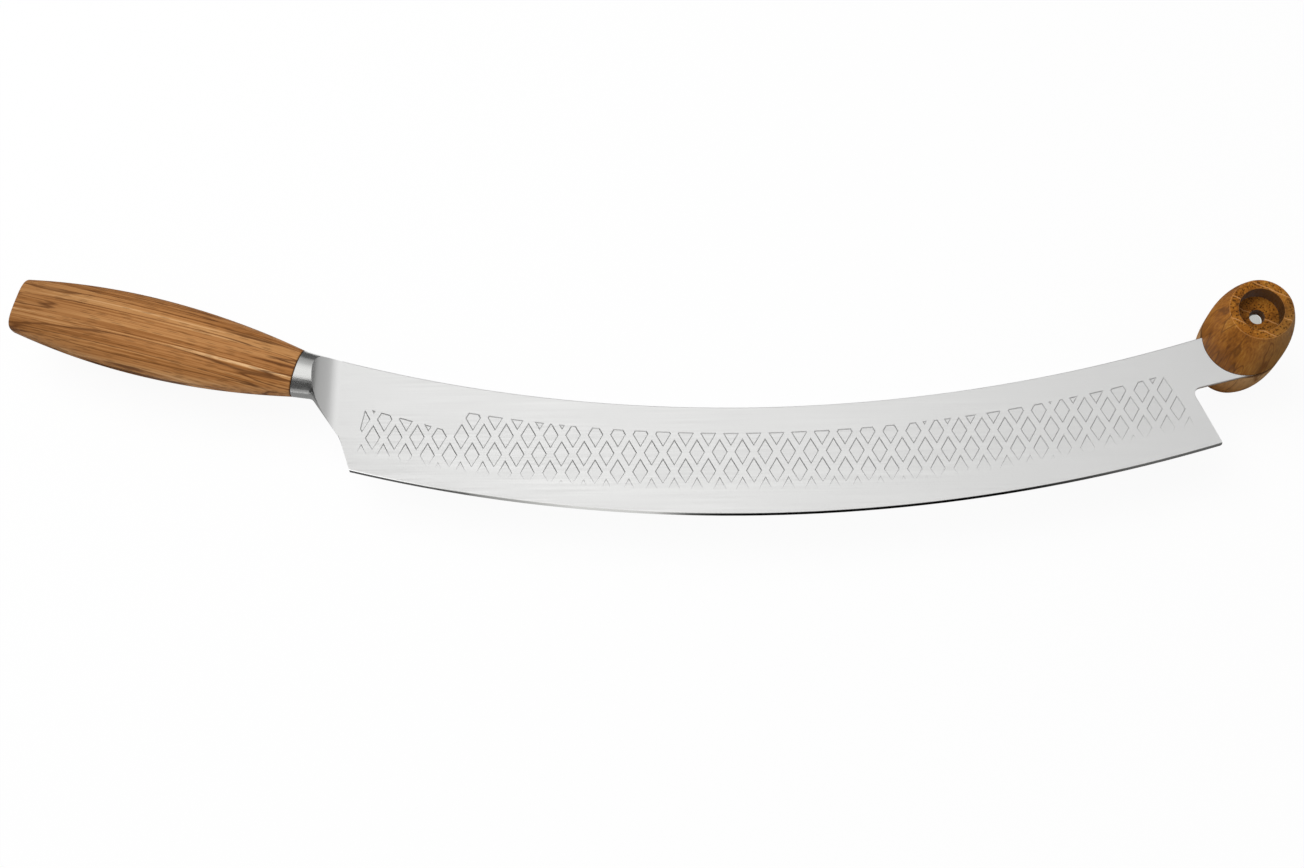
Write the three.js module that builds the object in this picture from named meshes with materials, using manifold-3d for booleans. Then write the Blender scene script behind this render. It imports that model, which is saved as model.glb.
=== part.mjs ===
// Pizza and cheese knife: a rocking blade with an oak handle at one end and an oak knob at the other.
//
// Design frame in millimetres. X runs along the blade from handle to knob, Y from the cutting edge to the
// spine, Z is square to the blade. X is 0 at the middle of the blade's arcs, Y is 0 at the lowest point of
// the edge and Z is 0 in the middle of the blade's thickness. At the end the knife is set with its lowest
// point at Z = 0 and the middle of its box over the origin.

import * as THREE from 'three';
import { ConvexGeometry } from 'three/addons/geometries/ConvexGeometry.js';
import { mergeGeometries, mergeVertices } from 'three/addons/utils/BufferGeometryUtils.js';
import Module from 'manifold-3d';

// Blade: heel and tip are places along X, leans are degrees from upright
const BLADE_THICKNESS = 2;
const BLADE_HEIGHT = 49.5;
const EDGE_RADIUS = 726;
const SPINE_RADIUS = 690;
const HEEL_X = -177.4;
const TIP_X = 205.6;
const TIP_LEAN = 25;
const TIP_CORNER = 1.4;
const ROOT_BEHIND_HEEL = 6.5;
const HEEL_LEAN = 19;
const HEEL_LOWER_LENGTH = 16.5;
const HEEL_UPPER_LEAN = 36;
const HEEL_BEND_RADIUS = 15;
const EASED_EDGE = 0.25;

// Ground bevel, which widens from the heel over a length along X, and the steeper honed bevel along the edge
const BEVEL_HEIGHT = 19;
const BEVEL_HEEL_HEIGHT = 15.4;
const BEVEL_WIDENS_OVER = 165;
const HONED_HEIGHT = 0.8;
const HONED_THICKNESS = 0.5;
const EDGE_THICKNESS = 0.1;

// Diamond pockets on both flanks, with sloping walls: the smallest one worth cutting is a volume
const POCKET_PITCH = 10;
const POCKET_RIB = 3;
const POCKET_ANGLE = 60;
const POCKET_DEPTH = 0.32;
const POCKET_WALL = 0.45;
const PATTERN_X = -2.8;
const PATTERN_Y = 29;
const PATTERN_BELOW_SPINE = 12;
const PATTERN_FROM_HEEL = 5.7;
const PATTERN_HEEL_LEAN = 11;
const PATTERN_FROM_TIP = 7;
const LEAST_POCKET = 0.03;

// Clear panel between pattern and spine at the heel: the heights of its lower side where it meets the
// pattern's heel side and at its end, and how far from the heel it ends along X
const PANEL_START_Y = 51.4;
const PANEL_END_Y = 39.6;
const PANEL_END = 46;

// Tab that reaches into the knob
const TAB_RISE = 13.7;
const TAB_DROP = 17.5;
const TAB_NOTCH = 3;
const TAB_NOSE = 14;

// Knob
const KNOB_AHEAD_OF_TIP = 12.6;
const KNOB_BELOW_SPINE = 5.7;
const KNOB_LENGTH = 68;
const KNOB_DIAMETER = 36.1;
const KNOB_END_DIAMETER = 26.8;
const KNOB_SWELL = 2.8;
const KNOB_RIM = 1.2;
const COUNTERBORE_DIAMETER = 18.8;
const COUNTERBORE_DEPTH = 8.7;
const COUNTERBORE_RIM = 0.6;
const PIN_DIAMETER = 6;
const PIN_SUNK = 4;
const PIN_CHAMFER = 0.5;

// Grip: bolster, tang and handle share one axis, raked up from the blade. Squareness 2 is an ellipse.
const GRIP_RAKE = 15;
const JOINT_BEHIND_HEEL = 26;
const AXIS_BELOW_SPINE = 11.2;
const JOINT_HEIGHT = 22;
const JOINT_THICKNESS = 15;
const JOINT_SQUARENESS = 2.2;
const BOLSTER_HOLLOW = 12;
const BOLSTER_UNDERSIDE = 8;
const BOLSTER_FILLET = 4;
const TONGUE_HEIGHT = 11;
const TONGUE_LENGTH = 13;
const HANDLE_LENGTH = 138.4;
const HANDLE_SWELL_AT = 74;
const HANDLE_HEIGHT = 36.8;
const HANDLE_THICKNESS = 22;
const BUTT_HEIGHT = 25;
const BUTT_THICKNESS = 14;
const BUTT_SQUARENESS = 3;
const BUTT_ROUND = 1.6;
const TANG_HEIGHT = 8;
const TANG_THICKNESS = 4;
const TANG_IN_HANDLE = 95;
const TANG_IN_BOLSTER = 4;
const TANG_POINT = 6;

// Fits
const FIT_GAP = 0.3;
const OVERCUT = 2;
const WELD = 1e-4;

// Facets
const ARC_STEPS = 44;
const CORNER_STEPS = 5;
const BEVEL_STEPS = 40;
const ROUND_STEPS = 36;
const SECTION_STEPS = 44;
const KNOB_STEPS = 8;
const HANDLE_STEPS = 14;
const BOLSTER_STEPS = 14;
const HOLLOW_STEPS = 10;
const SEARCH_STEPS = 40;

const wasm = await Module();
wasm.setup();

const radians = THREE.MathUtils.degToRad;
const halfBlade = BLADE_THICKNESS / 2;
const point = (x, y) => new THREE.Vector2(x, y);
const heading = (degrees) => point(Math.cos(radians(degrees)), Math.sin(radians(degrees)));
const from = (start, direction, length) => start.clone().addScaledVector(direction, length);

// Centres of the two arcs, and the heights of edge and spine above any X
const edgeCentre = point(0, EDGE_RADIUS);
const spineCentre = point(0, BLADE_HEIGHT + SPINE_RADIUS);
const onArc = (centre, radius, x) => point(x, centre.y - Math.sqrt(radius ** 2 - (x - centre.x) ** 2));
const onEdge = (x) => onArc(edgeCentre, EDGE_RADIUS, x);
const onSpine = (x, below = 0) => onArc(spineCentre, SPINE_RADIUS + below, x);

// Grip axis: along points from the butt to the blade, across points to the spine
const along = heading(-GRIP_RAKE);
const across = heading(90 - GRIP_RAKE);
const jointX = HEEL_X - JOINT_BEHIND_HEEL;
const joint = onSpine(jointX).sub(point(0, AXIS_BELOW_SPINE));
const onGrip = (forward, up) => from(from(joint, along, forward), across, up);
const gripPlace = new THREE.Matrix4()
  .makeRotationZ(radians(-GRIP_RAKE))
  .setPosition(joint.x, joint.y, 0);

// Ends of the joint's section, and the handle's slope where it meets the joint
const jointLow = onGrip(0, -JOINT_HEIGHT / 2);
const jointHigh = onGrip(0, JOINT_HEIGHT / 2);
const taper = THREE.MathUtils.radToDeg(Math.atan((HANDLE_HEIGHT - JOINT_HEIGHT) / HANDLE_SWELL_AT));

// Heel: under the bolster, round a fillet, and in two straight runs down to the corner on the edge
const rootX = HEEL_X - ROOT_BEHIND_HEEL;
const heelCorner = onEdge(HEEL_X);
const heelBend = from(heelCorner, heading(90 + HEEL_LEAN), HEEL_LOWER_LENGTH);
const heelTop = crossing(jointLow, heading(-BOLSTER_UNDERSIDE), heelBend, heading(90 + HEEL_UPPER_LEAN));
const heelSweep = new THREE.Path().moveTo(jointLow.x, jointLow.y);
roundTurn(heelSweep, heelTop, heelBend, BOLSTER_FILLET);
roundTurn(heelSweep, heelBend, heelCorner, HEEL_BEND_RADIUS);
heelSweep.lineTo(heelCorner.x, heelCorner.y);

// A length that passes over the whole bolster from spine to heel, when centred on the joint
const bolsterReach = 2 * (jointHigh.y - heelCorner.y);

// Knob axis and tip
const knobX = TIP_X + KNOB_AHEAD_OF_TIP;
const knobAxis = onSpine(knobX, KNOB_BELOW_SPINE);
const tipCorner = onEdge(TIP_X);
const pinBore = PIN_DIAMETER / 2 + FIT_GAP;

// Ends of the pattern: a point on its line along the tip and one on its line at the heel, where the clear
// panel starts, and the panel's other end with the way up into it
const patternTip = from(tipCorner, heading(180 + TIP_LEAN), PATTERN_FROM_TIP);
const patternHeel = point(HEEL_X + PATTERN_FROM_HEEL, PANEL_START_Y);
const panelEnd = point(HEEL_X + PANEL_END, PANEL_END_Y);
const panelUp = panelEnd.clone().sub(patternHeel).rotateAround(point(0, 0), Math.PI / 2).normalize();

// Root of the blade and the tongue behind it, as distances along the grip's axis
const halfTongue = TONGUE_HEIGHT / 2;
const rootAlong = (up) => (rootX - joint.x - up * across.x) / along.x;
const tongueEnd = rootAlong(halfTongue) - TONGUE_LENGTH;

// Points on an arc round a centre, the short way from start to end
function arc(centre, start, end, steps) {
  const first = Math.atan2(start.y - centre.y, start.x - centre.x);
  const last = Math.atan2(end.y - centre.y, end.x - centre.x);
  const turn = Math.atan2(Math.sin(last - first), Math.cos(last - first));
  const radius = start.distanceTo(centre);
  return Array.from({ length: steps + 1 }, (_, i) => {
    const angle = first + (turn * i) / steps;
    return point(centre.x + radius * Math.cos(angle), centre.y + radius * Math.sin(angle));
  });
}

// The corner between two straight edges, rounded to a radius
function roundedCorner(before, corner, after, radius) {
  const back = before.clone().sub(corner).normalize();
  const ahead = after.clone().sub(corner).normalize();
  const half = Math.acos(back.dot(ahead)) / 2;
  const inward = back.clone().add(ahead).normalize();
  const centre = from(corner, inward, radius / Math.sin(half));
  const reach = radius / Math.tan(half);
  return arc(centre, from(corner, back, reach), from(corner, ahead, reach), CORNER_STEPS);
}

// Where two straight lines cross, each given by a point and a direction
function crossing(a, directionA, b, directionB) {
  const gap = b.clone().sub(a);
  return from(a, directionA, gap.cross(directionB) / directionA.cross(directionB));
}

// What is left of a convex outline behind a line, given by a point on it and the way out of the outline
function clip(outline, onLine, outward) {
  const beyond = (p) => p.clone().sub(onLine).dot(outward);
  return outline.flatMap((p, i) => {
    const next = outline[(i + 1) % outline.length];
    const here = beyond(p);
    const there = beyond(next);
    const kept = here <= 0 ? [p] : [];
    if (here * there < 0) kept.push(p.clone().lerp(next, here / (here - there)));
    return kept;
  });
}

// Carries a path on in a straight run to a corner, and round it towards the next point
function roundTurn(path, corner, after, radius) {
  const back = path.currentPoint.clone().sub(corner).normalize();
  const ahead = after.clone().sub(corner).normalize();
  const reach = radius / Math.tan(Math.acos(back.dot(ahead)) / 2);
  const start = from(corner, back, reach);
  const end = from(corner, ahead, reach);
  path.lineTo(start.x, start.y).quadraticCurveTo(corner.x, corner.y, end.x, end.y);
}

// The curve's parameter where it reaches a given X, for a curve whose X only grows
function parameterAtX(curve, x) {
  let low = 0;
  let high = 1;
  for (let i = 0; i < SEARCH_STEPS; i += 1) {
    const middle = (low + high) / 2;
    if (curve.getPoint(middle).x < x) low = middle;
    else high = middle;
  }
  return low;
}

// A closed skin over rings of equally many points, with a fan at both ends
function loft(rings) {
  const count = rings[0].length;
  const middles = [rings[0], rings.at(-1)].map((ring) =>
    ring.reduce((sum, p) => sum.add(p), new THREE.Vector3()).divideScalar(count));
  const vertices = [...rings.flat(), ...middles].flatMap((p) => p.toArray());
  const firstMiddle = rings.length * count;
  const lastRing = (rings.length - 1) * count;
  const faces = [];
  for (let i = 0; i < count; i += 1) {
    const next = (i + 1) % count;
    faces.push(firstMiddle, next, i);
    faces.push(firstMiddle + 1, lastRing + i, lastRing + next);
    for (let row = 0; row < lastRing; row += count) {
      faces.push(row + i, row + next, row + count + i);
      faces.push(row + next, row + count + next, row + count + i);
    }
  }
  const geometry = new THREE.BufferGeometry();
  geometry.setAttribute('position', new THREE.Float32BufferAttribute(vertices, 3));
  geometry.setIndex(faces);
  return geometry;
}

// A point on an oval at an angle, as shares of its two half-axes
function oval(angle, squareness) {
  const power = 2 / squareness;
  const share = (value) => Math.sign(value) * Math.abs(value) ** power;
  return [share(Math.cos(angle)), share(Math.sin(angle))];
}

// Geometry to solid, for joining and cutting, and back
function solid(geometry) {
  const bare = geometry.clone();
  bare.deleteAttribute('normal');
  bare.deleteAttribute('uv');
  const merged = mergeVertices(bare, WELD);
  return new wasm.Manifold(new wasm.Mesh({
    numProp: 3,
    vertProperties: new Float32Array(merged.attributes.position.array),
    triVerts: new Uint32Array(merged.index.array),
  }));
}

function surface(body) {
  const mesh = body.getMesh();
  const geometry = new THREE.BufferGeometry();
  geometry.setAttribute('position', new THREE.Float32BufferAttribute(mesh.vertProperties, 3));
  geometry.setIndex(Array.from(mesh.triVerts));
  geometry.computeVertexNormals();
  return geometry;
}

// A flat plate of an outline, lying evenly on both sides of Z = 0, with a chamfer round both faces
function plate(outline, thickness, chamfer = 0) {
  const shape = new THREE.Shape(outline);
  const geometry = new THREE.ExtrudeGeometry(shape, {
    depth: thickness - 2 * chamfer,
    bevelEnabled: chamfer > 0,
    bevelThickness: chamfer,
    bevelSize: chamfer,
    bevelOffset: -chamfer,
    bevelSegments: 1,
  });
  return geometry.translate(0, 0, chamfer - thickness / 2);
}

// A turned body about Z from a profile of radius and height
function turned(profile) {
  return new THREE.LatheGeometry(profile, ROUND_STEPS).rotateX(Math.PI / 2);
}

function material(colour, roughness, metalness) {
  return new THREE.MeshStandardMaterial({ color: colour, roughness, metalness });
}

function piece(name, geometry, finish) {
  const mesh = new THREE.Mesh(geometry, finish);
  mesh.name = name;
  return mesh;
}

// Outline of the blade, anticlockwise from the heel's corner along the edge
function bladeOutline() {
  const edge = arc(edgeCentre, heelCorner, tipCorner, ARC_STEPS);
  const underKnob = heading(TAB_RISE - 90);
  const tabFoot = from(knobAxis, underKnob, TAB_DROP);
  const notch = crossing(tipCorner, heading(90 + TIP_LEAN), tabFoot, heading(TAB_RISE));
  const noseStart = from(knobAxis, underKnob, TAB_NOSE);
  const noseEnd = noseOnSpine();
  const heelStart = heelSweep.getPoint(parameterAtX(heelSweep, rootX));
  const heel = heelSweep.getPoints(CORNER_STEPS).slice(0, -1).filter((p) => p.x > heelStart.x);
  return [
    ...edge.slice(0, -1),
    ...roundedCorner(edge.at(-2), tipCorner, notch, TIP_CORNER),
    ...roundedCorner(tipCorner, notch, tabFoot, TAB_NOTCH),
    tabFoot,
    ...arc(knobAxis, noseStart, noseEnd, 2 * CORNER_STEPS),
    ...arc(spineCentre, noseEnd, onSpine(rootX), ARC_STEPS).slice(1),
    onGrip(rootAlong(halfTongue), halfTongue),
    onGrip(tongueEnd, halfTongue),
    onGrip(tongueEnd, -halfTongue),
    onGrip(rootAlong(-halfTongue), -halfTongue),
    heelStart,
    ...heel,
  ];
}

// Where the tab's round nose runs into the spine, on the far side of the knob's axis
function noseOnSpine() {
  const toCentre = spineCentre.clone().sub(knobAxis);
  const reach = toCentre.length();
  const spread = Math.acos((reach ** 2 + TAB_NOSE ** 2 - SPINE_RADIUS ** 2) / (2 * reach * TAB_NOSE));
  return from(knobAxis, heading(THREE.MathUtils.radToDeg(toCentre.angle() - spread)), TAB_NOSE);
}

// Height of the ground bevel above the edge at one place along X
function bevelHeight(x) {
  const narrowing = Math.max(0, 1 - (x - HEEL_X) / BEVEL_WIDENS_OVER);
  return BEVEL_HEIGHT - (BEVEL_HEIGHT - BEVEL_HEEL_HEIGHT) * narrowing;
}

// What grinding takes off one flank: a ring sector over the bevel, with a kink where the honed edge starts.
// It ends just past the edge, at a lip thinner than the edge.
function bevelWaste(side) {
  const honedSlope = (HONED_THICKNESS - EDGE_THICKNESS) / 2 / HONED_HEIGHT;
  const lip = EDGE_THICKNESS / 4;
  const outer = EDGE_RADIUS + lip / honedSlope;
  const top = halfBlade + OVERCUT;
  const first = Math.asin((HEEL_X - BEVEL_HEIGHT) / EDGE_RADIUS);
  const last = Math.asin((TIP_X + BEVEL_HEIGHT) / EDGE_RADIUS);
  const rings = Array.from({ length: BEVEL_STEPS + 1 }, (_, i) => {
    const angle = first + ((last - first) * i) / BEVEL_STEPS;
    const height = bevelHeight(edgeCentre.x + EDGE_RADIUS * Math.sin(angle));
    const slope = (halfBlade - HONED_THICKNESS / 2) / (height - HONED_HEIGHT);
    const inner = EDGE_RADIUS - height - OVERCUT;
    const section = [
      point(inner, halfBlade + slope * OVERCUT),
      point(EDGE_RADIUS - HONED_HEIGHT, HONED_THICKNESS / 2),
      point(outer, lip),
      point(outer, top),
      point(inner, top),
    ];
    const ordered = side > 0 ? section.reverse() : section;
    return ordered.map((p) => new THREE.Vector3(
      edgeCentre.x + p.x * Math.sin(angle),
      edgeCentre.y - p.x * Math.cos(angle),
      side * p.y,
    ));
  });
  return solid(loft(rings));
}

// One level of a diamond pocket. Its walls slope, and at half their depth they stand on the diamond, on the
// pattern's lines at tip and heel, and on its upper side: the panel, or past it the arc below the spine.
function pocketLevel(x, y, halfWidth, height) {
  const spread = ((height - halfBlade) / POCKET_DEPTH + 1 / 2) * POCKET_WALL;
  const reach = halfWidth + spread / Math.sin(radians(POCKET_ANGLE));
  const rise = reach * Math.tan(radians(POCKET_ANGLE));
  const diamond = [point(x + reach, y), point(x, y + rise), point(x - reach, y), point(x, y - rise)];
  const underPanel = x < panelEnd.x;
  const top = underPanel ? panelEnd : onSpine(x, PATTERN_BELOW_SPINE);
  const limits = [
    [top, underPanel ? panelUp : spineCentre.clone().sub(top).normalize()],
    [patternTip, heading(TIP_LEAN)],
    [patternHeel, heading(180 - PATTERN_HEEL_LEAN)],
  ];
  const outline = limits.reduce((left, [at, out]) => clip(left, from(at, out, spread), out), diamond);
  return outline.map((p) => new THREE.Vector3(p.x, p.y, height));
}

// One diamond pocket in each flank, as the two solids that are cut away, or nothing where no floor is left
function pocketPair(x, y, halfWidth) {
  const floor = pocketLevel(x, y, halfWidth, halfBlade - POCKET_DEPTH);
  if (floor.length < 3) return null;
  const corners = [...floor, ...pocketLevel(x, y, halfWidth, halfBlade + POCKET_DEPTH)];
  const opposite = corners.map((p) => new THREE.Vector3(p.x, p.y, -p.z));
  return solid(mergeGeometries([new ConvexGeometry(corners), new ConvexGeometry(opposite)]));
}

// All pockets that cut into the ground blade, in rows that are shifted by half a pitch
function pockets(ground) {
  const halfWidth = (POCKET_PITCH - POCKET_RIB / Math.sin(radians(POCKET_ANGLE))) / 2;
  const rowHeight = (POCKET_PITCH / 2) * Math.tan(radians(POCKET_ANGLE));
  const lowest = Math.floor(-PATTERN_Y / rowHeight);
  const highest = Math.ceil((onSpine(TIP_X).y - PATTERN_Y) / rowHeight);
  const first = Math.floor((HEEL_X - PATTERN_X) / POCKET_PITCH);
  const last = Math.ceil((TIP_X - PATTERN_X) / POCKET_PITCH);
  const cuts = [];
  for (let row = lowest; row <= highest; row += 1) {
    const shift = row % 2 === 0 ? 0 : POCKET_PITCH / 2;
    for (let column = first; column <= last; column += 1) {
      const x = PATTERN_X + shift + column * POCKET_PITCH;
      const pair = pocketPair(x, PATTERN_Y + row * rowHeight, halfWidth);
      if (pair?.intersect(ground).volume() > LEAST_POCKET) cuts.push(pair);
    }
  }
  return cuts.reduce((all, cut) => all.add(cut));
}

// Blade: plate, ground on both flanks, with the pockets and the hole for the knob's pin
function blade() {
  const blank = solid(plate(bladeOutline(), BLADE_THICKNESS, EASED_EDGE));
  const ground = blank.subtract(bevelWaste(1)).subtract(bevelWaste(-1));
  const drill = new THREE.CylinderGeometry(pinBore, pinBore, BLADE_THICKNESS + OVERCUT, ROUND_STEPS);
  drill.rotateX(Math.PI / 2).translate(knobAxis.x, knobAxis.y, 0);
  return surface(ground.subtract(pockets(ground)).subtract(solid(drill)));
}

// The hollow that is ground into one flank of the bolster: an arc that starts at the collar's full thickness
// and runs out level with the blade's flank
function bolsterHollow(side) {
  const depth = JOINT_THICKNESS / 2 - halfBlade;
  const radius = (BOLSTER_HOLLOW ** 2 + depth ** 2) / (2 * depth);
  const centre = point(rootX, halfBlade + radius);
  const start = point(rootX - BOLSTER_HOLLOW, halfBlade + depth);
  const top = JOINT_THICKNESS;
  const ahead = rootX + JOINT_HEIGHT;
  const profile = [
    ...arc(centre, start, point(rootX, halfBlade), HOLLOW_STEPS),
    point(ahead, halfBlade),
    point(ahead, top),
    point(start.x, top),
  ];
  const geometry = plate(profile, bolsterReach).rotateX(side > 0 ? Math.PI / 2 : -Math.PI / 2);
  return solid(geometry.translate(0, joint.y, 0));
}

// A bar along the grip's axis, in the grip's own frame
function bar(start, end, height, thickness) {
  return new THREE.BoxGeometry(end - start, height, thickness).translate((start + end) / 2, 0, 0);
}

// Bolster: ovals from the joint with the handle to the root of the blade, ground hollow on both flanks
function bolster() {
  const ahead = rootX + OVERCUT;
  const spineEnd = onSpine(ahead);
  const spineHeading = spineCentre.clone().sub(spineEnd).rotateAround(point(0, 0), -Math.PI / 2);
  const turn = crossing(jointHigh, heading(-GRIP_RAKE - taper), spineEnd, spineHeading);
  const top = new THREE.QuadraticBezierCurve(jointHigh, turn, spineEnd);
  const heelEnd = parameterAtX(heelSweep, ahead);
  const rings = Array.from({ length: BOLSTER_STEPS + 1 }, (_, i) => {
    const share = i / BOLSTER_STEPS;
    const high = top.getPoint(share);
    const low = heelSweep.getPoint(heelEnd * share);
    return Array.from({ length: SECTION_STEPS }, (_unused, k) => {
      const [up, out] = oval((2 * Math.PI * k) / SECTION_STEPS, JOINT_SQUARENESS);
      const p = low.clone().lerp(high, (1 + up) / 2);
      return new THREE.Vector3(p.x, p.y, (out * JOINT_THICKNESS) / 2);
    });
  });
  const trim = new THREE.BoxGeometry(JOINT_HEIGHT, bolsterReach, 2 * JOINT_THICKNESS);
  trim.translate(rootX - FIT_GAP + JOINT_HEIGHT / 2, joint.y, 0);
  const slot = bar(
    tongueEnd - FIT_GAP,
    tongueEnd + JOINT_HEIGHT,
    TONGUE_HEIGHT + 2 * FIT_GAP,
    BLADE_THICKNESS + 2 * FIT_GAP,
  );
  const socket = bar(
    -OVERCUT,
    TANG_IN_BOLSTER + FIT_GAP,
    TANG_HEIGHT + 2 * FIT_GAP,
    TANG_THICKNESS + 2 * FIT_GAP,
  );
  const cuts = [bolsterHollow(1), bolsterHollow(-1), solid(trim)];
  cuts.push(solid(slot.applyMatrix4(gripPlace)), solid(socket.applyMatrix4(gripPlace)));
  return surface(cuts.reduce((left, cut) => left.subtract(cut), solid(loft(rings))));
}

// Tang: a flat bar with a pointed end, in the grip's own frame
function tang() {
  const half = TANG_HEIGHT / 2;
  return plate([
    point(TANG_IN_BOLSTER, -half),
    point(TANG_IN_BOLSTER, half),
    point(TANG_POINT - TANG_IN_HANDLE, half),
    point(-TANG_IN_HANDLE, half / 2),
    point(-TANG_IN_HANDLE, -half / 2),
    point(TANG_POINT - TANG_IN_HANDLE, -half),
  ], TANG_THICKNESS);
}

// Half-size of the handle at a distance from the joint: it swells to its full size and draws in to the butt
function swell(distance, atJoint, full, atButt) {
  const before = distance < HANDLE_SWELL_AT;
  const end = before ? atJoint : atButt;
  const reach = before ? HANDLE_SWELL_AT : HANDLE_LENGTH - HANDLE_SWELL_AT;
  return (full - (full - end) * ((distance - HANDLE_SWELL_AT) / reach) ** 2) / 2;
}

// Handle: ovals along the grip's axis, rounded at the butt and mortised for the tang,
// in the grip's own frame
function handle() {
  const stations = Array.from({ length: HANDLE_STEPS + 1 }, (_, i) => ({
    distance: ((HANDLE_LENGTH - BUTT_ROUND) * i) / HANDLE_STEPS,
    inset: 0,
  }));
  for (let i = 1; i <= CORNER_STEPS; i += 1) {
    const angle = (Math.PI / 2) * (i / CORNER_STEPS);
    stations.push({
      distance: HANDLE_LENGTH - BUTT_ROUND * (1 - Math.sin(angle)),
      inset: BUTT_ROUND * (1 - Math.cos(angle)),
    });
  }
  const rings = stations.map(({ distance, inset }) => {
    const height = swell(distance, JOINT_HEIGHT, HANDLE_HEIGHT, BUTT_HEIGHT) - inset;
    const thickness = swell(distance, JOINT_THICKNESS, HANDLE_THICKNESS, BUTT_THICKNESS) - inset;
    const share = distance / HANDLE_LENGTH;
    const squareness = THREE.MathUtils.lerp(JOINT_SQUARENESS, BUTT_SQUARENESS, share);
    return Array.from({ length: SECTION_STEPS }, (_, k) => {
      const [up, out] = oval((-2 * Math.PI * k) / SECTION_STEPS, squareness);
      return new THREE.Vector3(-FIT_GAP - distance, height * up, thickness * out);
    });
  });
  const mortise = bar(
    -TANG_IN_HANDLE - FIT_GAP,
    OVERCUT,
    TANG_HEIGHT + 2 * FIT_GAP,
    TANG_THICKNESS + 2 * FIT_GAP,
  );
  return surface(solid(loft(rings)).subtract(solid(mortise)));
}

// Half of the knob: barrel from the tab's flank to the end face, counterbored over the pin hole
function knobHalf() {
  const full = KNOB_DIAMETER / 2;
  const end = KNOB_END_DIAMETER / 2;
  const top = KNOB_LENGTH / 2;
  const bore = COUNTERBORE_DIAMETER / 2;
  const floor = top - COUNTERBORE_DEPTH;
  const profile = [point(pinBore, halfBlade)];
  for (let i = 0; i <= KNOB_STEPS; i += 1) {
    const height = halfBlade + ((top - KNOB_RIM - halfBlade) * i) / KNOB_STEPS;
    profile.push(point(full - (full - end) * (height / top) ** KNOB_SWELL, height));
  }
  const rim = profile.at(-1).x;
  for (let i = 1; i <= CORNER_STEPS; i += 1) {
    const angle = (Math.PI / 2) * (i / CORNER_STEPS);
    profile.push(point(rim - KNOB_RIM * (1 - Math.cos(angle)), top - KNOB_RIM * (1 - Math.sin(angle))));
  }
  profile.push(
    point(bore + COUNTERBORE_RIM, top),
    point(bore, top - COUNTERBORE_RIM),
    point(bore, floor),
    point(pinBore, floor),
    point(pinBore, halfBlade),
  );
  return turned(profile);
}

// Pin: a dowel with chamfered ends, sunk below the floors of both counterbores
function pin() {
  const radius = PIN_DIAMETER / 2;
  const half = KNOB_LENGTH / 2 - COUNTERBORE_DEPTH - PIN_SUNK;
  return turned([
    point(0, -half),
    point(radius - PIN_CHAMFER, -half),
    point(radius, PIN_CHAMFER - half),
    point(radius, half - PIN_CHAMFER),
    point(radius - PIN_CHAMFER, half),
    point(0, half),
  ]);
}

const grip = new THREE.Group();
grip.position.set(joint.x, joint.y, 0);
grip.rotation.z = radians(-GRIP_RAKE);
grip.add(piece('tang', tang(), material(0xa8a8a4, 0.5, 1)));
grip.add(piece('handle', handle(), material(0x9c6b3f, 0.55, 0)));

const knob = new THREE.Group();
knob.position.set(knobAxis.x, knobAxis.y, 0);
knob.add(piece('knob_upper_half', knobHalf(), material(0x8a5a34, 0.55, 0)));
knob.add(piece('knob_lower_half', knobHalf().rotateX(Math.PI), material(0x8a5a34, 0.55, 0)));
knob.add(piece('knob_pin', pin(), material(0xd0d0cc, 0.25, 1)));

const knife = new THREE.Group();
knife.add(piece('blade', blade(), material(0xd9d9d6, 0.32, 1)));
knife.add(piece('bolster', bolster(), material(0xb9b9b6, 0.3, 1)));
knife.add(grip, knob);

const box = new THREE.Box3().setFromObject(knife, true);
const middle = box.getCenter(new THREE.Vector3());
knife.position.set(-middle.x, -middle.y, -box.min.z);

export default knife;
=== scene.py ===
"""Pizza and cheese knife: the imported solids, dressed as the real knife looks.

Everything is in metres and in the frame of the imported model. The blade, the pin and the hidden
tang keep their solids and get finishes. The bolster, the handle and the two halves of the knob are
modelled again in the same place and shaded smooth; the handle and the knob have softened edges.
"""

import logging
import math
from dataclasses import dataclass
from enum import Enum
from typing import Any, Mapping, Sequence

import bmesh
import bpy
from mathutils import Matrix, Vector


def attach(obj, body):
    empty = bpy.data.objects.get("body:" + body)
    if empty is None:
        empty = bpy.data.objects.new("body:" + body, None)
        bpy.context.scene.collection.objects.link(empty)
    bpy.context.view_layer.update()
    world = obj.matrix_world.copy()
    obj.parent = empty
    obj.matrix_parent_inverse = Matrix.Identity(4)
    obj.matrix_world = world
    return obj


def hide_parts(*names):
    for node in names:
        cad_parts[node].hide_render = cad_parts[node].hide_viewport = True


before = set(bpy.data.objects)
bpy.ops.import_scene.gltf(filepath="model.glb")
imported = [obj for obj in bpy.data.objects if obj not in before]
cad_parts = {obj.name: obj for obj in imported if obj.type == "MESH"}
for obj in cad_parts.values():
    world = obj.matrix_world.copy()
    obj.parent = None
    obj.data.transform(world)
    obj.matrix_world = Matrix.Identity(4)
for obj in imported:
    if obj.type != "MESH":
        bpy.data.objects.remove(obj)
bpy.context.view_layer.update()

LOG = logging.getLogger("knife")
BODY = "root"

# Sizes of the knife are written in millimetres
MM = 0.001
PER_MM = 1000.0
BLADE_MIDDLE = 34.0
HALF_BLADE = 1.0
RAKE = math.radians(15)
WHITE = "#FFFFFF"
BLACK = "#000000"

Tree = bpy.types.NodeTree
Node = bpy.types.Node
Socket = bpy.types.NodeSocket
Material = bpy.types.Material
Object = bpy.types.Object
Colour = tuple[float, float, float, float]
Span = tuple[float, float]
Size = tuple[float, float, float]
Palette = tuple[tuple[float, str], ...]

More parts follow.
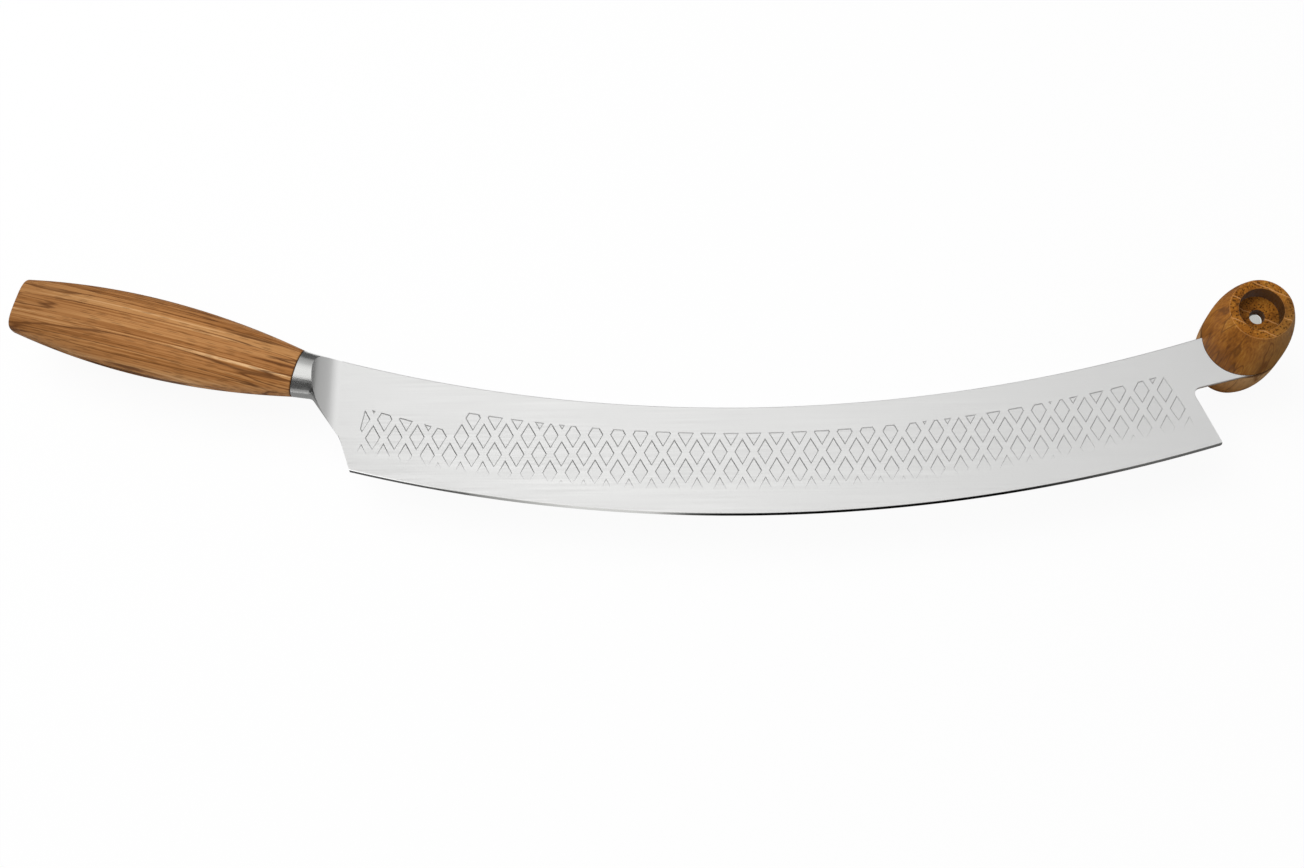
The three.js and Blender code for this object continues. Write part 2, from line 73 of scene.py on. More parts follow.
# Kinds, settings and sockets that many nodes share
MATH = "ShaderNodeMath"
MAP_RANGE = "ShaderNodeMapRange"
MIX = "ShaderNodeMix"
MAPPING = "ShaderNodeMapping"
SEPARATE = "ShaderNodeSeparateXYZ"
COORDINATES = "ShaderNodeTexCoord"
RGBA = {"data_type": "RGBA"}
SMOOTH = {"interpolation_type": "SMOOTHSTEP"}
ADD = {"operation": "ADD"}
SUBTRACT = {"operation": "SUBTRACT"}
MULTIPLY = {"operation": "MULTIPLY"}
MULTIPLY_ADD = {"operation": "MULTIPLY_ADD"}
ABSOLUTE = {"operation": "ABSOLUTE"}
MAXIMUM = {"operation": "MAXIMUM"}
PINGPONG = {"operation": "PINGPONG"}
FROM = ("From Min", "From Max")
TO = ("To Min", "To Max")


def linear(colour: str) -> Colour:
    """Turns an sRGB hex value into a linear colour.

    Args:
        colour: the value as "#RRGGBB".

    Returns:
        Linear red, green, blue and an alpha of 1.
    """
    shares = [int(colour[i:i + 2], 16) / 255 for i in (1, 3, 5)]
    red, green, blue = (
        c / 12.92 if c <= 0.04045 else ((c + 0.055) / 1.055) ** 2.4 for c in shares
    )
    return red, green, blue, 1.0


def feed(tree: Tree, node: Node, inputs: Mapping[Any, Any]) -> None:
    """Sets the values and links of a node's sockets.

    Args:
        tree: the node's tree.
        node: the node.
        inputs: socket name or number to a value, or to the output socket that feeds it. A pair of
            names takes a pair of these.
    """
    for key, given in inputs.items():
        for name, value in zip(key, given) if isinstance(key, tuple) else ((key, given),):
            if isinstance(value, Socket):
                tree.links.new(value, node.inputs[name])
            else:
                node.inputs[name].default_value = value


def add_node(
    tree: Tree,
    kind: str,
    settings: Mapping[str, Any] | None = None,
    inputs: Mapping[Any, Any] | None = None,
    stops: Palette = (),
) -> Node:
    """Adds a node with its settings, its socket values and its links.

    Args:
        tree: the node tree that gets the node.
        kind: the node's type name.
        settings: properties of the node itself.
        inputs: what its sockets get, as feed takes it.
        stops: positions and hex colours of a colour ramp.

    Returns:
        The new node.
    """
    node = tree.nodes.new(kind)
    for name, value in (settings or {}).items():
        setattr(node, name, value)
    feed(tree, node, inputs or {})
    for i, (position, colour) in enumerate(stops):
        elements = node.color_ramp.elements
        element = elements[i] if i < 2 else elements.new(position)
        element.position = position
        element.color = linear(colour)
    return node


def new_material(name: str) -> tuple[Material, Tree, Node]:
    """Makes a material with a bare Principled shader.

    Args:
        name: the material's name.

    Returns:
        The material, its node tree and its shader.
    """
    material = bpy.data.materials.new(name)
    material.use_nodes = True
    return material, material.node_tree, material.node_tree.nodes["Principled BSDF"]


class Grain(Enum):
    """The axis, after turning, that the wood's fibres follow."""

    ALONG_X = "X"
    ALONG_Z = "Z"

    def stretch(self, length: float, width: float, depth: float) -> Size:
        """Gives a pattern's scale per millimetre for marks of one size.

        Args:
            length: the marks' length along the fibres.
            width: their width across the fibres.
            depth: their depth into the board.

        Returns:
            The scale along X, Y and Z.
        """
        if self is Grain.ALONG_X:
            return 1 / length, 1 / width, 1 / depth
        return 1 / width, 1 / depth, 1 / length


@dataclass(frozen=True)
class PaleBand:
    """A band of paler strands along a board.

    Its middle across the board and its half-width are in mm. How far it wanders, and where it
    fades out and is full, are in half-widths.
    """

    middle: float
    half_width: float
    share: float
    wander: float = 4.0
    fade: Span = (1.6, 0.2)


@dataclass(frozen=True)
class PaintedSideLight:
    """Painted shade and sheen on one side: where its colour starts and is full along an axis, in
    mm.

    Where gone is given, the painted colour fades out again towards that place.
    """

    axis: str
    start: float
    full: float
    share: float
    colour: str
    gone: float | None = None


@dataclass(frozen=True)
class Rays:
    """Pale rays on the end grain, and a painted highlight along the rims.

    The rays' spacing, the place of one, the distances at which a ray fades out and is full, and
    the length of its wavering are in mm.
    """

    spacing: float
    at: float
    colour: str
    share: float
    rim_highlight_share: float
    fade: Span = (0.32, 0.1)
    waver: float = 2.5


@dataclass(frozen=True)
class ShadedBore:
    """A bore whose wall is darkened with painted shade, as the recess shades it.

    Its radius, and how far outside it the stain fades out and is full, are in mm.
    """

    radius: float
    share: float
    fade: Span = (0.4, 0.1)


@dataclass(frozen=True)
class OiledOak:
    """Oak, sanded and oiled: warm brown with dark growth lines, open pores and pale rays.

    Sizes are lengths along the fibres, widths across them and depths into the board, in mm.
    """

    name: str
    grain: Grain
    turn: float
    centre: Size
    palette: Palette
    fibre_size: Size
    tone_size: Size
    line_size: Size
    line_fade: float
    line_colour: str
    pore_size: Size
    pore_and_shade_colour: str
    pore_share: float
    end_pore_share: float
    joint_shade_span: Span
    specular: float
    pale_band: PaleBand | None = None
    painted_side_light: tuple[PaintedSideLight, ...] = ()
    rays: Rays | None = None
    bore: ShadedBore | None = None
    tone_share: float = 0.6
    tone_offset: float = -0.1
    fibre_share: float = 0.65
    strand_levels: Span = (0.42, 0.6)
    streak_roughness: float = 0.55
    line_share: float = 0.85
    pore_fade: Span = (0.42, 0.2)
    joint_shade_share: float = 0.85
    end_facing: Span = (0.6, 0.95)
    roughness: Span = (0.5, 0.75)
    bump_strength: float = 0.3
    bump_depth: float = 0.1
    ior: float = 1.47

    def material(self) -> Material:
        """Builds the wood from its fibres, growth lines, pores and rays.

        Returns:
            The material.
        """
        material, tree, shader = new_material(self.name)
        place = add_node(tree, COORDINATES).outputs["Object"]
        turned = Matrix.Rotation(self.turn, 3, "Z") @ Vector(self.centre)
        board = add_node(
            tree, MAPPING, None,
            {"Vector": place, "Location": -turned, "Rotation": (0, 0, self.turn),
             "Scale": (PER_MM,) * 3},
        ).outputs["Vector"]
        fibre = self.streaks(tree, board, self.fibre_size, 3.0)
        wood = self.long_grain(tree, board, fibre)

        # Growth lines: the open earlywood leaves a thin dark line where a streak passes one level
        lines = self.contour(tree, self.streaks(tree, board, self.line_size, 1.0))
        lined = add_node(
            tree, MIX, RGBA, {0: lines, 6: wood, 7: linear(self.line_colour)},
        ).outputs[2]

        # Open pores: dark dashes along the grain and dots on the end grain. Real ones are 0.3 mm
        # wide, and are drawn about twice as wide to show.
        pores_at = add_node(
            tree, MAPPING, None, {"Vector": board, "Scale": self.grain.stretch(*self.pore_size)},
        ).outputs["Vector"]
        cell = add_node(
            tree, "ShaderNodeTexVoronoi", None, {"Vector": pores_at, "Scale": 1.0},
        ).outputs["Distance"]
        end_grain = self.end_grain(tree)
        darkest = add_node(
            tree, MAP_RANGE, None, {"Value": end_grain, TO: (self.pore_share, self.end_pore_share)},
        ).outputs["Result"]
        pores = add_node(
            tree, MAP_RANGE, SMOOTH, {"Value": cell, FROM: self.pore_fade, "To Max": darkest},
        ).outputs["Result"]
        pored = add_node(
            tree, MIX, RGBA, {0: pores, 6: lined, 7: linear(self.pore_and_shade_colour)},
        ).outputs[2]

        # Painted shade in a band by the joint
        colour = self.joint_shade(tree, board, pored)
        # Pale rays, and a painted highlight along the rims
        if self.rays:
            colour = self.rayed(tree, board, end_grain, colour)
        # Painted shade on the bore's wall
        if self.bore:
            colour = self.shaded_bore(tree, board, end_grain, colour)

        # The oil leaves the dense wood a little glossier than the pores
        gloss = add_node(
            tree, MAP_RANGE, None, {"Value": pores, TO: self.roughness},
        ).outputs["Result"]
        raised = add_node(tree, MATH, SUBTRACT, {0: fibre, 1: lines}).outputs[0]
        height = add_node(tree, MATH, SUBTRACT, {0: raised, 1: pores}).outputs[0]
        bump = add_node(
            tree, "ShaderNodeBump", None,
            {"Strength": self.bump_strength, "Distance": self.bump_depth * MM, "Height": height},
        ).outputs["Normal"]
        feed(tree, shader, {
            "Base Color": colour, "Roughness": gloss, "Normal": bump,
            "IOR": self.ior, "Specular IOR Level": self.specular,
        })
        return material

    def long_grain(self, tree: Tree, board: Socket, fibre: Socket) -> Socket:
        """Adds the colour of the solid wood: broad tone, fine fibres, a pale band, painted side
        shade and sheen.

        Args:
            tree: the material's node tree.
            board: coordinates in millimetres.
            fibre: the fine fibres.

        Returns:
            The colour.
        """
        tone = self.streaks(tree, board, self.tone_size, 2.0)
        broad = add_node(
            tree, MATH, MULTIPLY_ADD, {0: tone, 1: self.tone_share, 2: self.tone_offset},
        ).outputs[0]
        level = add_node(
            tree, MATH, MULTIPLY_ADD, {0: fibre, 1: self.fibre_share, 2: broad},
        ).outputs[0]
        parts = add_node(tree, SEPARATE, None, {"Vector": board}).outputs
        if self.pale_band:
            pale = self.paled(tree, parts["Y"], tone)
            strands = add_node(
                tree, MAP_RANGE, SMOOTH, {"Value": fibre, FROM: self.strand_levels},
            ).outputs["Result"]
            level = add_node(tree, MATH, MULTIPLY_ADD, {0: pale, 1: strands, 2: level}).outputs[0]
        wood = add_node(
            tree, "ShaderNodeValToRGB", None, {"Fac": level}, self.palette,
        ).outputs["Color"]
        # Painted shade and sheen: a colour mixed in along an axis for how the light falls on a side
        for side_paint in self.painted_side_light:
            along = parts[side_paint.axis]
            painted_share = add_node(
                tree, MAP_RANGE, SMOOTH,
                {"Value": along, FROM: (side_paint.start, side_paint.full), "To Max": side_paint.share},
            ).outputs["Result"]
            if side_paint.gone is not None:
                left = add_node(
                    tree, MAP_RANGE, None, {"Value": along, FROM: (side_paint.gone, side_paint.full)},
                ).outputs["Result"]
                painted_share = add_node(tree, MATH, MULTIPLY, {0: painted_share, 1: left}).outputs[0]
            wood = add_node(tree, MIX, RGBA, {0: painted_share, 6: wood, 7: linear(side_paint.colour)}).outputs[2]
        return wood

    def paled(self, tree: Tree, side: Socket, tone: Socket) -> Socket:
        """Adds the share of the pale band, which wanders with the broad tone.

        Args:
            tree: the material's node tree.
            side: the place across the board in millimetres.
            tone: the broad tone.

        Returns:
            The share.
        """
        band = self.pale_band
        wander = band.wander * band.half_width
        wandered = add_node(tree, MATH, MULTIPLY_ADD, {0: tone, 1: wander, 2: side}).outputs[0]
        off = add_node(tree, MATH, SUBTRACT, {0: wandered, 1: band.middle + wander / 2}).outputs[0]
        away = add_node(tree, MATH, ABSOLUTE, {0: off}).outputs[0]
        fade = [reach * band.half_width for reach in band.fade]
        return add_node(
            tree, MAP_RANGE, SMOOTH, {"Value": away, FROM: fade, "To Max": band.share},
        ).outputs["Result"]

    def shaded_bore(self, tree: Tree, board: Socket, end_grain: Socket, colour: Socket) -> Socket:
        """Darkens the bore's wall with painted shade, as the recess shades it; its floor is end
        grain and stays light.

        Args:
            tree: the material's node tree.
            board: coordinates in millimetres.
            end_grain: the share of end grain.
            colour: the wood's colour.

        Returns:
            The darkened colour.
        """
        flat = add_node(tree, "ShaderNodeVectorMath", MULTIPLY, {0: board, 1: (1, 1, 0)}).outputs[0]
        out = add_node(
            tree, "ShaderNodeVectorMath", {"operation": "LENGTH"}, {0: flat},
        ).outputs["Value"]
        fade = [self.bore.radius + reach for reach in self.bore.fade]
        inside = add_node(
            tree, MAP_RANGE, None, {"Value": out, FROM: fade, "To Max": self.bore.share},
        ).outputs["Result"]
        floor = add_node(tree, MATH, MULTIPLY, {0: inside, 1: end_grain}).outputs[0]
        wall = add_node(tree, MATH, SUBTRACT, {0: inside, 1: floor}).outputs[0]
        return add_node(
            tree, MIX, RGBA, {0: wall, 6: colour, 7: linear(self.pore_and_shade_colour)},
        ).outputs[2]

    def end_grain(self, tree: Tree) -> Socket:
        """Adds the share of end grain: 1 where the surface is square to the fibres, 0 along them.

        Args:
            tree: the material's node tree.

        Returns:
            The share.
        """
        facing = add_node(tree, COORDINATES).outputs["Normal"]
        turned = add_node(
            tree, MAPPING,
            {"vector_type": "NORMAL"}, {"Vector": facing, "Rotation": (0, 0, self.turn)},
        ).outputs["Vector"]
        parts = add_node(tree, SEPARATE, None, {"Vector": turned}).outputs
        along = parts[self.grain.value]
        square = add_node(tree, MATH, ABSOLUTE, {0: along}).outputs[0]
        return add_node(
            tree, MAP_RANGE, SMOOTH, {"Value": square, FROM: self.end_facing},
        ).outputs["Result"]

    def rayed(self, tree: Tree, board: Socket, end_grain: Socket, colour: Socket) -> Socket:
        """Adds the rays, thin pale sheets seen as lines on the end grain, and the painted highlight
        on the rims.

        Args:
            tree: the material's node tree.
            board: coordinates in millimetres.
            end_grain: the share of end grain.
            colour: the wood's colour.

        Returns:
            The colour with rays.
        """
        rays = self.rays
        side = add_node(tree, SEPARATE, None, {"Vector": board}).outputs["Y"]
        waver = add_node(
            tree, "ShaderNodeTexNoise", None,
            {"Vector": board, "Scale": 1 / rays.waver, "Detail": 1.0},
        ).outputs["Fac"]
        from_ray = add_node(tree, MATH, SUBTRACT, {0: side, 1: rays.at}).outputs[0]
        bent = add_node(tree, MATH, ADD, {0: from_ray, 1: waver}).outputs[0]
        away = add_node(tree, MATH, PINGPONG, {0: bent, 1: rays.spacing / 2}).outputs[0]
        sheet = add_node(
            tree, MAP_RANGE, SMOOTH, {"Value": away, FROM: rays.fade, "To Max": rays.share},
        ).outputs["Result"]
        lines = add_node(tree, MATH, MULTIPLY, {0: sheet, 1: end_grain}).outputs[0]

        # A rim is where the surface turns from end grain to long grain; it gets a painted highlight
        turning = add_node(tree, MATH, PINGPONG, {0: end_grain, 1: 0.5}).outputs[0]
        rim = add_node(tree, MATH, MULTIPLY, {0: turning, 1: 2 * rays.rim_highlight_share}).outputs[0]
        pale = add_node(tree, MATH, MAXIMUM, {0: lines, 1: rim}).outputs[0]
        return add_node(tree, MIX, RGBA, {0: pale, 6: colour, 7: linear(rays.colour)}).outputs[2]

    def joint_shade(self, tree: Tree, board: Socket, colour: Socket) -> Socket:
        """Darkens a band by the joint with painted shade, where the joint's gap shades the wood.

        Args:
            tree: the material's node tree.
            board: coordinates in millimetres.
            colour: the wood's colour.

        Returns:
            The darkened colour.
        """
        parts = add_node(tree, SEPARATE, None, {"Vector": board}).outputs
        along = parts[self.grain.value]
        from_joint = add_node(tree, MATH, ABSOLUTE, {0: along}).outputs[0]
        joint_shading = add_node(
            tree, MAP_RANGE, None,
            {"Value": from_joint, FROM: self.joint_shade_span, "To Max": self.joint_shade_share},
        ).outputs["Result"]
        return add_node(
            tree, MIX, RGBA, {0: joint_shading, 6: colour, 7: linear(self.pore_and_shade_colour)},
        ).outputs[2]

    def streaks(self, tree: Tree, board: Socket, size: Size, detail: float) -> Socket:
        """Adds a pattern of streaks along the grain.

        Args:
            tree: the material's node tree.
            board: coordinates in millimetres.
            size: length, width and depth of a streak in millimetres.
            detail: octaves of finer streaks.

        Returns:
            The pattern's level.
        """
        drawn = add_node(
            tree, MAPPING, None, {"Vector": board, "Scale": self.grain.stretch(*size)},
        ).outputs["Vector"]
        return add_node(
            tree, "ShaderNodeTexNoise", None,
            {"Vector": drawn, "Scale": 1.0, "Detail": detail, "Roughness": self.streak_roughness},
        ).outputs["Fac"]

    def contour(self, tree: Tree, pattern: Socket) -> Socket:
        """Adds thin lines where a pattern passes its middle level.

        Args:
            tree: the material's node tree.
            pattern: the pattern's level.

        Returns:
            The lines' share.
        """
        off = add_node(tree, MATH, SUBTRACT, {0: pattern, 1: 0.5}).outputs[0]
        away = add_node(tree, MATH, ABSOLUTE, {0: off}).outputs[0]
        return add_node(
            tree, MAP_RANGE, SMOOTH,
            {"Value": away, FROM: (self.line_fade, 0.0), "To Max": self.line_share},
        ).outputs["Result"]


@dataclass(frozen=True)
class SatinSteel:
    """Stainless steel with a satin finish: soft reflections drawn out along fine grinding lines."""

    name: str
    colour: str
    roughness: float
    line_length: float
    line_width: float
    turn: float = 0.0
    line_levels: Span = (0.3, 0.7)
    roughness_play: float = 0.05
    bump_strength: float = 0.1
    bump_depth: float = 0.01

    def start(self) -> tuple[Material, Tree, Node, Socket]:
        """Builds the plain satin metal.

        Returns:
            The material, its node tree, its shader and the coordinates in millimetres.
        """
        material, tree, shader = new_material(self.name)
        place = add_node(tree, COORDINATES).outputs["Object"]
        sheet = add_node(
            tree, MAPPING, None,
            {"Vector": place, "Rotation": (0, 0, self.turn), "Scale": (PER_MM,) * 3},
        ).outputs["Vector"]
        across = 1 / self.line_width
        lines_at = add_node(
            tree, MAPPING, None, {"Vector": sheet, "Scale": (1 / self.line_length, across, across)},
        ).outputs["Vector"]
        lines = add_node(
            tree, "ShaderNodeTexNoise", None, {"Vector": lines_at, "Scale": 1.0, "Detail": 3.0},
        ).outputs["Fac"]
        rough = add_node(
            tree, MAP_RANGE, None,
            {"Value": lines, FROM: self.line_levels,
             TO: (self.roughness - self.roughness_play, self.roughness + self.roughness_play)},
        ).outputs["Result"]
        bump = add_node(
            tree, "ShaderNodeBump", None,
            {"Strength": self.bump_strength, "Distance": self.bump_depth * MM, "Height": lines},
        ).outputs["Normal"]
        feed(tree, shader, {"Metallic": 1.0, "Roughness": rough, "Normal": bump})
        return material, tree, shader, sheet

    def refinish(
        self, tree: Tree, shader: Node, colour: Socket, share: Socket, roughness: float,
    ) -> None:
        """Gives the metal a colour that varies, and another roughness over a share of it.

        Args:
            tree: the material's node tree.
            shader: the plain metal's shader.
            colour: the colour.
            share: where the other roughness holds.
            roughness: the other roughness.
        """
        plain = shader.inputs["Roughness"].links[0].from_socket
        rough = add_node(
            tree, MIX, None, {"Factor": share, "A": plain, "B": roughness},
        ).outputs["Result"]
        feed(tree, shader, {"Base Color": colour, "Roughness": rough})

    def material(self) -> Material:
        """Builds the metal in its one colour.

        Returns:
            The material.
        """
        material, tree, shader, _ = self.start()
        feed(tree, shader, {"Base Color": linear(self.colour)})
        return material


@dataclass(frozen=True)
class GroundBlade(SatinSteel):
    """The blade's satin steel, duller in the etched pockets, with painted reflection on the honed
    edge.

    The edge is honed by hand on a stone. Its tone along its length is painted reflection: its dark
    and pale stretches stand in for what the polished bevel mirrors.
    """

    pocket_colour: str = "#EEEEED"
    pocket_depths: Span = (0.04, 0.12)
    # Painted reflection: tones of the honed edge along the blade, from the heel to the tip
    painted_reflection_span: Span = (-122.0, 240.0)
    honed_painted_reflection: Palette = (
        (0.0, "#FFFFFF"), (0.09, "#DADAD8"), (0.135, "#80807E"), (0.2, "#949492"),
        (0.27, "#BCBCBA"), (0.36, "#BABAB8"), (0.45, "#484847"), (0.5, "#2E2E2D"),
        (0.78, "#2E2E2D"), (0.88, "#4C4C4B"), (0.95, "#7C7C7A"),
    )
    honed_roughness: float = 0.12
    edge_centre: Span = (52.0007, 667.5977)
    edge_radius: float = 726.0
    honed_height: float = 0.8
    honed_band: float = 1.1
    honed_blend: float = 0.1
    honed_half: float = 0.25
    bevel_heights: Span = (15.4, 19.0)
    bevel_widens: Span = (-125.4, 39.6)

    def material(self) -> Material:
        """Builds the blade's steel with its pockets and its honed edge.

        Returns:
            The material.
        """
        material, tree, shader, sheet = self.start()
        parts = add_node(tree, SEPARATE, None, {"Vector": sheet}).outputs
        flat = add_node(
            tree, "ShaderNodeCombineXYZ", None, {"X": parts["X"], "Y": parts["Y"]},
        ).outputs["Vector"]
        reach = add_node(
            tree, "ShaderNodeVectorMath",
            {"operation": "DISTANCE"}, {0: flat, 1: (*self.edge_centre, 0.0)},
        ).outputs["Value"]
        band_from = self.edge_radius - self.honed_band
        honed = add_node(
            tree, MAP_RANGE, None,
            {"Value": reach, FROM: (band_from - self.honed_blend, band_from + self.honed_blend)},
        ).outputs["Result"]

        # Where the bevel starts: it is wider towards the knob
        starts = [self.edge_radius - height for height in self.bevel_heights]
        bevel = add_node(
            tree, MAP_RANGE, None, {"Value": parts["X"], FROM: self.bevel_widens, TO: starts},
        ).outputs["Result"]

        # Height of the ground flank over the middle plane, and how far the surface lies below it
        flank = add_node(
            tree, MAP_RANGE, None,
            {"Value": reach, FROM: (bevel, self.edge_radius - self.honed_height),
             TO: (HALF_BLADE, self.honed_half)},
        ).outputs["Result"]
        above = add_node(tree, MATH, SUBTRACT, {0: parts["Z"], 1: BLADE_MIDDLE}).outputs[0]
        height = add_node(tree, MATH, ABSOLUTE, {0: above}).outputs[0]
        depth = add_node(tree, MATH, SUBTRACT, {0: flank, 1: height}).outputs[0]
        pocket = add_node(
            tree, MAP_RANGE, None, {"Value": depth, FROM: self.pocket_depths},
        ).outputs["Result"]
        ground = add_node(
            tree, MIX, RGBA, {0: pocket, 6: linear(self.colour), 7: linear(self.pocket_colour)},
        ).outputs[2]
        # Painted reflection: the honed edge's tone along X stands in for what its polished bevel
        # mirrors
        along = add_node(
            tree, MAP_RANGE, None, {"Value": parts["X"], FROM: self.painted_reflection_span},
        ).outputs["Result"]
        edge_reflection_paint = add_node(
            tree, "ShaderNodeValToRGB", None, {"Fac": along}, self.honed_painted_reflection,
        ).outputs["Color"]
        colour = add_node(tree, MIX, RGBA, {0: honed, 6: ground, 7: edge_reflection_paint}).outputs[2]
        self.refinish(tree, shader, colour, honed, self.honed_roughness)
        return material


@dataclass(frozen=True)
class GroundBolster(SatinSteel):
    """The bolster's steel: polished round the collar, and ground with the blade in its hollows."""

    ground_colour: str = "#F0F0EF"
    ground_roughness: float = 0.44
    ground_span: Span = (-145.0, -135.0)

    def material(self) -> Material:
        """Builds the steel with its two finishes.

        Returns:
            The material.
        """
        material, tree, shader, _ = self.start()
        place = add_node(tree, COORDINATES).outputs["Object"]
        ahead = add_node(tree, SEPARATE, None, {"Vector": place}).outputs["X"]
        span = [place_x * MM for place_x in self.ground_span]
        ground = add_node(tree, MAP_RANGE, None, {"Value": ahead, FROM: span}).outputs["Result"]
        colour = add_node(
            tree, MIX, RGBA, {0: ground, 6: linear(self.colour), 7: linear(self.ground_colour)},
        ).outputs[2]
        self.refinish(tree, shader, colour, ground, self.ground_roughness)
        return material


class Bench:
    """Edit-mode steps that the pieces share. Points are in millimetres."""

    @staticmethod
    def clear() -> None:
        """Leaves nothing selected."""
        bpy.ops.object.select_all(action="DESELECT")

    @staticmethod
    def take(piece: Object) -> None:
        """Makes one object the only one that is selected, and the active one.

        Args:
            piece: the object.
        """
        Bench.clear()
        bpy.context.view_layer.objects.active = piece
        piece.select_set(True)

    @staticmethod
    def ring(name: str, points: Sequence[Vector]) -> Object:
        """Starts a piece from a circle that is set on an outline, and stays in edit mode.

        Args:
            name: the piece's name.
            points: the outline, in order.

        Returns:
            The new object, at the origin.
        """
        Bench.clear()
        bpy.ops.mesh.primitive_circle_add(vertices=len(points), radius=1.0)
        piece = bpy.context.object
        piece.name = name
        piece.data.name = name
        bpy.ops.object.mode_set(mode="EDIT")
        mesh = bmesh.from_edit_mesh(piece.data)
        mesh.verts.ensure_lookup_table()
        for vertex, point in zip(mesh.verts, points):
            vertex.co = point * MM
        bmesh.update_edit_mesh(piece.data)
        return piece

    @staticmethod
    def follow(piece: Object, last: Sequence[Vector], points: Sequence[Vector]) -> None:
        """Extrudes the selected ring and sets the new one on the next outline.

        Args:
            piece: the object in edit mode.
            last: the outline that the selected ring lies on.
            points: the next outline, with as many points.
        """
        bpy.ops.mesh.extrude_edges_move()
        mesh = bmesh.from_edit_mesh(piece.data)
        where = {tuple(round(c, 4) for c in point): i for i, point in enumerate(last)}
        for vertex in [v for v in mesh.verts if v.select]:
            vertex.co = points[where[tuple(round(c / MM, 4) for c in vertex.co)]] * MM
        bmesh.update_edit_mesh(piece.data)

    @staticmethod
    def loft(name: str, rings: Sequence[Sequence[Vector]]) -> Object:
        """Draws a closed skin over rings, with a flat face at both ends.

        Args:
            name: the piece's name.
            rings: outlines with equally many points.

        Returns:
            The finished object, in object mode.
        """
        exact = [[Vector([round(c, 4) for c in point]) for point in ring] for ring in rings]
        piece = Bench.ring(name, exact[0])
        for last, points in zip(exact, exact[1:]):
            Bench.follow(piece, last, points)
        bpy.ops.mesh.select_all(action="DESELECT")
        bpy.ops.mesh.select_non_manifold()
        bpy.ops.mesh.edge_face_add()
        bpy.ops.mesh.select_all(action="SELECT")
        bpy.ops.mesh.normals_make_consistent(inside=False)
        bpy.ops.object.mode_set(mode="OBJECT")
        return piece

    @staticmethod
    def turned(name: str, profile: Sequence[Vector], axis_at: Vector, steps: int) -> Object:
        """Draws a profile vertex by vertex and spins it about an upright axis.

        Args:
            name: the piece's name.
            profile: a closed line of points in the plane through the axis.
            axis_at: a point on the axis.
            steps: facets round the axis.

        Returns:
            The finished object, in object mode.
        """
        piece = Bench.ring(name, profile)
        bpy.ops.mesh.spin(steps=steps, angle=2 * math.pi, center=axis_at * MM, axis=(0, 0, 1))
        bpy.ops.mesh.select_all(action="SELECT")
        bpy.ops.mesh.remove_doubles(threshold=1e-7)
        bpy.ops.mesh.normals_make_consistent(inside=False)
        bpy.ops.object.mode_set(mode="OBJECT")
        return piece

    @staticmethod
    def cut(piece: Object, cutter: Object) -> None:
        """Cuts one object out of another and removes the cutter.

        Args:
            piece: the object that is cut.
            cutter: the shape to cut out of it.
        """
        Bench.take(piece)
        cut = piece.modifiers.new("cut", "BOOLEAN")
        cut.operation = "DIFFERENCE"
        cut.solver = "EXACT"
        cut.object = cutter
        bpy.ops.object.modifier_apply(modifier=cut.name)
        bpy.data.objects.remove(cutter)

    @staticmethod
    def smooth(piece: Object, degrees: float) -> None:
        """Smooths the shading of all edges flatter than an angle."""
        Bench.take(piece)
        bpy.ops.object.shade_smooth_by_angle(angle=math.radians(degrees))

    @staticmethod
    def dress(piece: Object, material: Material, node: str, slot: str) -> Object:
        """Gives a finished piece its material, and lets it stand for a CAD node.

        Args:
            piece: the finished object.
            material: its finish.
            node: the CAD node that it replaces.
            slot: the record's material slot; not used.

        Returns:
            The same object.
        """
        piece.data.materials.clear()
        piece.data.materials.append(material)
        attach(piece, BODY)
        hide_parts(node)
        return piece


def oval(angle: float, squareness: float) -> Span:
    """Gives a point on an oval, as shares of its two half-axes.

    Args:
        angle: the place round the oval.
        squareness: 2 for an ellipse, more for a squarer one.

    Returns:
        The shares along the first and the second half-axis.
    """
    first, second, power = math.cos(angle), math.sin(angle), 2 / squareness
    return math.copysign(abs(first) ** power, first), math.copysign(abs(second) ** power, second)


@dataclass
class Grip:
    """The axis that bolster, tang and handle share, raked up from the blade, and the joint."""

    joint: Vector
    rake: float = RAKE
    joint_height: float = 22.0
    joint_thickness: float = 15.0
    joint_squareness: float = 2.2
    tang_height: float = 8.0
    tang_thickness: float = 4.0
    fit_gap: float = 0.3

    def at(self, forward: float, up: float, out: float) -> Vector:
        """Gives the point at distances along the axis, towards the spine and off the flank."""
        c, s = math.cos(self.rake), math.sin(self.rake)
        return self.joint + Vector((forward * c + up * s, up * c - forward * s, out))

    def bar(self, name: str, start: float, end: float, height: float, thickness: float) -> Object:
        """Makes a bar along the axis, for cutting a slot.

        Args:
            name: the bar's name.
            start: its near end along the axis.
            end: its far end along the axis.
            height: its size towards the spine.
            thickness: its size across the flank.

        Returns:
            The bar.
        """
        corners = [(-0.5, -0.5), (0.5, -0.5), (0.5, 0.5), (-0.5, 0.5)]
        return Bench.loft(name, [
            [self.at(forward, height * up, thickness * out) for up, out in corners]
            for forward in (start, end)
        ])

    def tang_bar(self, name: str, start: float, end: float) -> Object:
        """Makes a bar as large as the tang and its gaps, for cutting a seat."""
        gaps = 2 * self.fit_gap
        return self.bar(name, start, end, self.tang_height + gaps, self.tang_thickness + gaps)


